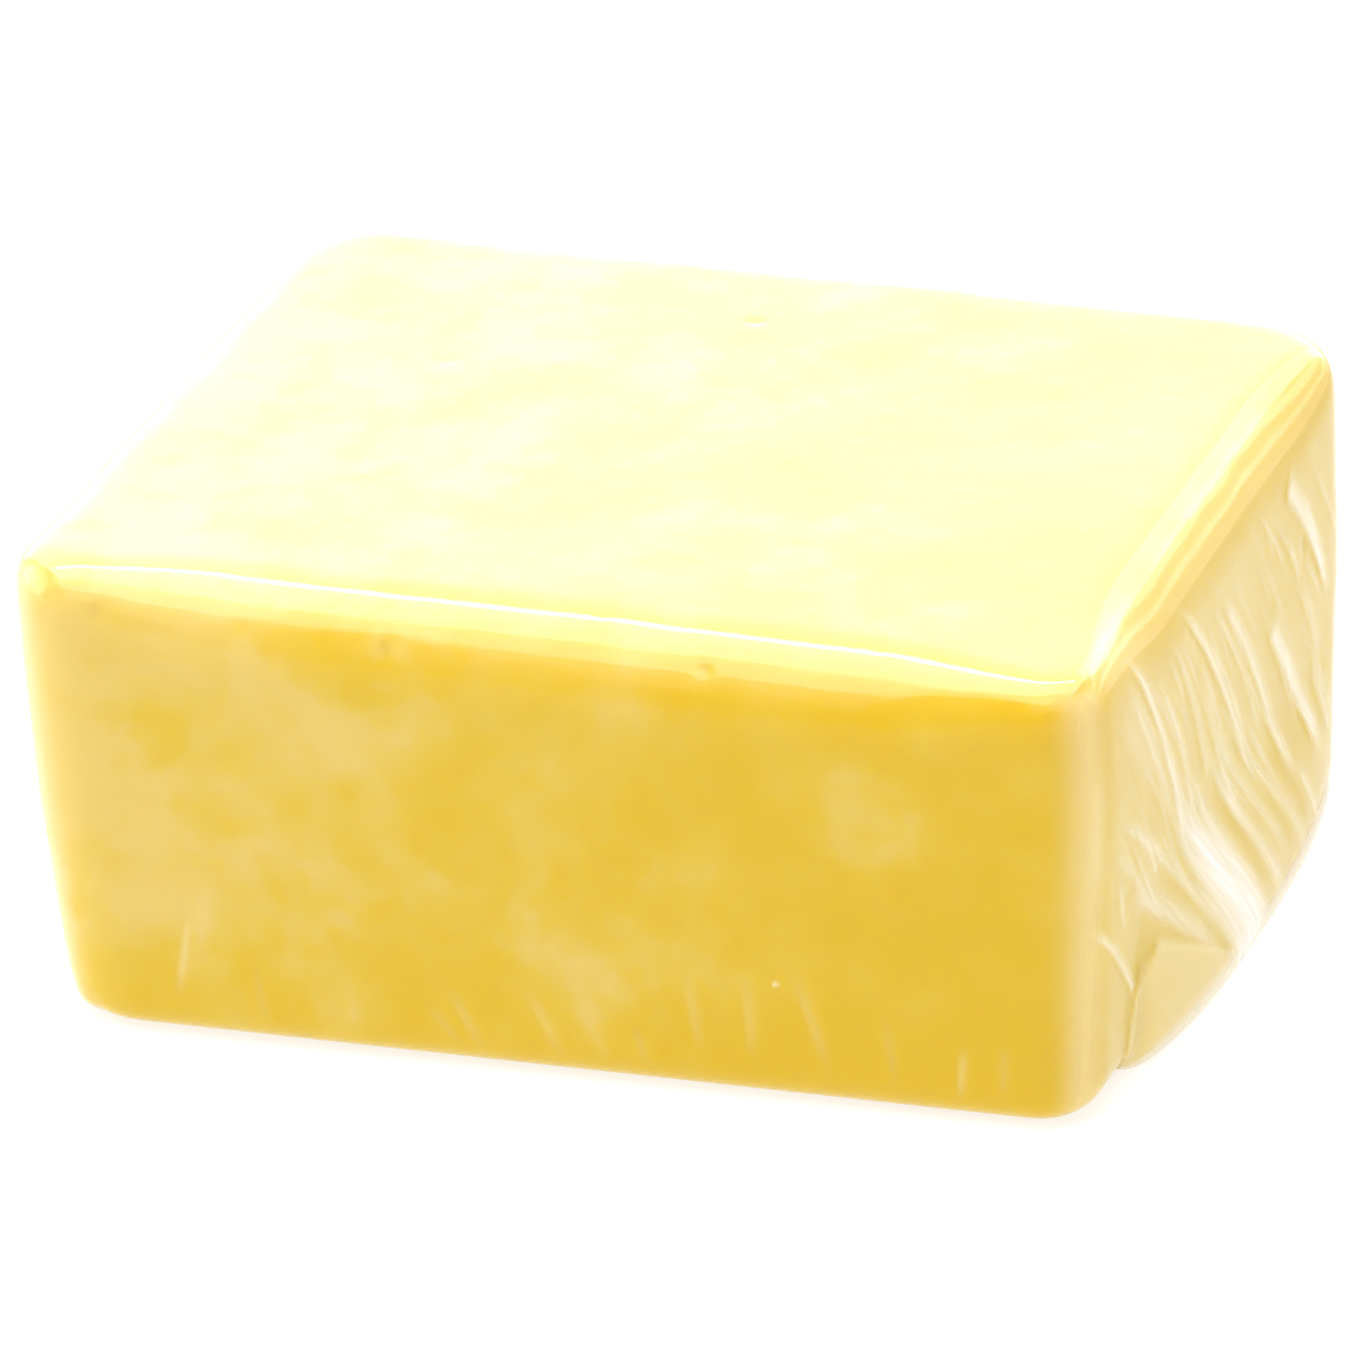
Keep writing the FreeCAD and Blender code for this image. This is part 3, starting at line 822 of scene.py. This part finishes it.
def cheese_material():
    """Young cheddar: pressed curds of two or three close yellows, soft and slightly see-through."""
    material, tree, shader = new_material("cheddar")
    place = place_on_block(tree)
    large = curd_cells(tree, place, 105, 150, 8 * MM, 0.8)
    small = curd_cells(tree, place, 330, 420, 2.5 * MM, 0.7)
    clouds = noise_at(tree, place, 85, 2.5, 0.5, 0.4)
    named = add(tree, "Attribute", attribute_name="curd").outputs["Fac"]
    tone = calculate(tree, "MULTIPLY", large, 0.24)
    for source, share in ((small, 0.12), (clouds, 0.6), (named, 0.15)):
        tone = calculate(tree, "ADD", tone, calculate(tree, "MULTIPLY", source, share))
    # Paler towards the left end and deeper towards the right. Painted light: the extra pale band at the very
    # left edge stands for the glow of light there, and the deeper foot is painted shade where the block
    # stands on the floor.
    split = add(tree, "SeparateXYZ")
    tree.links.new(place, split.inputs[0])
    along, up = split.outputs["X"], split.outputs["Z"]
    for drift_and_painted_light in (span(tree, along, -60 * MM, 50 * MM, 0.17, -0.17),
                  span(tree, along, -49 * MM, -57 * MM, 0, 0.3),
                  span(tree, up, 0, 16 * MM, -0.16, 0.04)):
        tone = calculate(tree, "ADD", tone, drift_and_painted_light)
    pale = span(tree, tone, 0.41, 0.8)
    deep = span(tree, tone, 0.54, 0.2)
    colour = blend_colours(tree, pale, CHEESE_MID, CHEESE_PALE)
    colour = blend_colours(tree, deep, colour, CHEESE_DEEP)
    tree.links.new(colour, shader.inputs["Base Color"])
    fine = noise_at(tree, place, 900, 3, 0.6)
    rough = span(tree, fine, 0.3, 0.7, 0.34, 0.46)
    tree.links.new(rough, shader.inputs["Roughness"])
    shader.inputs["Subsurface Weight"].default_value = 0.85
    shader.inputs["Subsurface Radius"].default_value = (1.0, 0.8, 0.4)
    shader.inputs["Subsurface Scale"].default_value = 5.0 * MM
    shader.inputs["Specular IOR Level"].default_value = 0.05
    shader.inputs["Coat Weight"].default_value = 1.0
    shader.inputs["Coat Roughness"].default_value = 0.1
    shader.inputs["Coat IOR"].default_value = 1.36
    bump = add(tree, "Bump", strength=0.08, distance=0.3 * MM)
    tree.links.new(noise_at(tree, place, 420, 3, 0.55), bump.inputs["Height"])
    tree.links.new(bump.outputs[0], shader.inputs["Normal"])
    return material


FILM_CLEAR = (0.98, 0.90, 0.64, 1)
FILM_WHITE = (1.0, 1.0, 1.0, 1)
# How much of the cheese the film hides where it is veiled, folded or white, and its least and its most.
VEIL_COVER, FOLD_COVER, WHITE_COVER = 0.012, 0.36, 0.92
LEAST_COVER, MOST_COVER = 0.01, 0.97


def film_material():
    """Clear stretch film, all but unseen where it lies flat, and white where it is gathered or folded."""
    material, tree, shader = new_material("clear_film")
    white = add(tree, "Attribute", attribute_name="white").outputs["Fac"]
    # At the ends the fold mask also holds painted light on the rounded corners.
    fold = add(tree, "Attribute", attribute_name="fold").outputs["Fac"]
    veil = add(tree, "Attribute", attribute_name="veil").outputs["Fac"]
    place = place_on_block(tree)
    haze = span(tree, noise_at(tree, place, 160, 3, 0.6, 0.4), 0.35, 0.7, 0.5, 1.0)
    colour = blend_colours(tree, white, FILM_CLEAR, FILM_WHITE)
    tree.links.new(colour, shader.inputs["Base Color"])
    cover = calculate(tree, "MULTIPLY", veil, VEIL_COVER)
    cover = calculate(tree, "MULTIPLY", cover, haze)
    cover = calculate(tree, "MAXIMUM", cover, calculate(tree, "MULTIPLY", fold, FOLD_COVER))
    cover = calculate(tree, "ADD", cover, calculate(tree, "MULTIPLY", white, WHITE_COVER), clamp=True)
    cover = calculate(tree, "MINIMUM", calculate(tree, "ADD", cover, LEAST_COVER), MOST_COVER)
    tree.links.new(cover, shader.inputs["Alpha"])
    shader.inputs["Roughness"].default_value = 0.22
    shader.inputs["Specular IOR Level"].default_value = 0.15
    return material


def dress(piece, material):
    """Gives a piece its material and its body."""
    piece.data.materials.clear()
    piece.data.materials.append(material)
    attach(piece, "root")


# ---------------------------------------------------------------- the studio

CAMERA_AZIMUTH, CAMERA_ELEVATION, CAMERA_ROLL = 21.33, 23.26, -3.38
CAMERA_DISTANCE = 897.5 * MM
CAMERA_AIM = (-3.80 * MM, 21.97 * MM)
CAMERA_LENS = 239.2


def heading(azimuth, elevation):
    """The direction towards a place round the block. Azimuth 0 is straight in front, 90 to the right."""
    a, e = math.radians(azimuth), math.radians(elevation)
    return Vector((math.sin(a) * math.cos(e), -math.cos(a) * math.cos(e), math.sin(e)))


def make_camera():
    """A long lens, a little above and to the right of the block, and slightly rolled."""
    back = heading(CAMERA_AZIMUTH, CAMERA_ELEVATION)
    right = Vector((0, 0, 1)).cross(back).normalized()
    up = back.cross(right)
    roll = math.radians(CAMERA_ROLL)
    right, up = (right * math.cos(roll) + up * math.sin(roll), up * math.cos(roll) - right * math.sin(roll))
    data = bpy.data.cameras.new("camera")
    data.lens = CAMERA_LENS
    data.sensor_width = 36
    data.clip_start, data.clip_end = 0.05, 60
    camera = bpy.data.objects.new("camera", data)
    bpy.context.scene.collection.objects.link(camera)
    place = back * CAMERA_DISTANCE + right * CAMERA_AIM[0] + up * CAMERA_AIM[1]
    turn = Matrix((right, up, back)).transposed().to_4x4()
    camera.matrix_world = Matrix.Translation(place) @ turn
    bpy.context.scene.camera = camera


def add_light(name, azimuth, elevation, distance, size, radiance, aim=(0, 0, 0.03)):
    """A soft rectangular lamp that faces the block. radiance is its brightness as seen from there."""
    data = bpy.data.lights.new(name, "AREA")
    data.shape = "RECTANGLE"
    data.size, data.size_y = size
    data.energy = radiance * math.pi * size[0] * size[1]
    lamp = bpy.data.objects.new(name, data)
    bpy.context.scene.collection.objects.link(lamp)
    lamp.location = Vector(aim) + heading(azimuth, elevation) * distance
    lamp.rotation_euler = (lamp.location - Vector(aim)).to_track_quat("Z", "Y").to_euler()
    lamp.visible_camera = False
    return lamp


def make_studio():
    """A white sky and floor, soft lamps round the block, and a narrow bright one above its far side."""
    scene = bpy.context.scene
    scene.view_settings.view_transform = "Standard"
    scene.view_settings.look = "None"
    world = bpy.data.worlds.new("white_sky")
    scene.world = world
    world.use_nodes = True
    sky = next(node for node in world.node_tree.nodes if node.type == "BACKGROUND")
    sky.inputs["Color"].default_value = (1, 1, 1, 1)
    sky.inputs["Strength"].default_value = 0.7
    # These show only in reflections. They meet or overlap, and all but the strip are dimmer lower down.
    for lamp in (
        add_light("behind", CAMERA_AZIMUTH + 180, 22, 1.32, (1.9, 0.95), 4.15),
        add_light("behind_right", 138, 36, 1.28, (1.8, 0.5), 2.7),
        add_light("behind_right_mid", 138, 22, 1.3, (1.8, 0.5), 2.1),
        add_light("behind_right_low", 138, 6, 1.32, (1.8, 0.5), 1.6),
        add_light("behind_high", CAMERA_AZIMUTH + 180, 54, 1.3, (1.9, 0.55), 5.2),
        add_light("zenith", CAMERA_AZIMUTH + 180, 84, 1.3, (1.9, 0.95), 10.0),
        add_light("front_high", CAMERA_AZIMUTH, 64, 1.32, (1.9, 0.6), 4.0),
        add_light("front_mid", CAMERA_AZIMUTH, 46, 1.3, (1.9, 0.36), 2.3),
        add_light("front_low", CAMERA_AZIMUTH, 30, 1.3, (1.9, 0.36), 1.4),
        add_light("strip", CAMERA_AZIMUTH + 180, 66, 1.1, (1.0, 0.12), 26),
        add_light("left", -82, 20, 1.3, (1.2, 0.9), 2.2),
    ):
        lamp.visible_diffuse = False
    add_light("overhead", -20, 74, 1.2, (1.4, 1.4), 3.0)
    add_light("left_fill", -85, 12, 1.3, (1.0, 0.8), 2.1)
    floor_material, _, shader = new_material("studio_floor")
    shader.inputs["Base Color"].default_value = (0.35, 0.35, 0.35, 1)
    shader.inputs["Roughness"].default_value = 0.9
    shader.inputs["Specular IOR Level"].default_value = 0.1
    shader.inputs["Emission Color"].default_value = (1, 1, 1, 1)
    shader.inputs["Emission Strength"].default_value = 0.75
    bpy.ops.mesh.primitive_plane_add(size=30, location=(0, 0, -0.1 * MM))
    floor = bpy.context.active_object
    floor.name = "studio_floor"
    floor.data.materials.append(floor_material)


# ---------------------------------------------------------------- making it

def main():
    cheese = block_blank()
    remesh(cheese)
    wear_top_edges(cheese)
    wear_in(cheese)
    film_pieces = [
        round_film(cheese),
        end_film(cheese, "film_right_end", 1, CLEAR_SPOTS),
        end_film(cheese, "film_left_end", -1, []),
        gather_sheet(cheese, "gathers_right_end", 1, BAND + FAN + FRONT_FOLDS + fine_gathers(29, 1, 60)),
        gather_sheet(cheese, "gathers_left_end", -1, left_gathers() + fine_gathers(43, -1, 60)),
    ]
    set_mask(cheese, "curd", curd_tone(cheese))
    dress(cheese, cheese_material())
    film = film_material()
    for piece in film_pieces:
        dress(piece, film)
        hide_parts(NODE)
    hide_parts(NODE)
    make_camera()
    make_studio()


main()
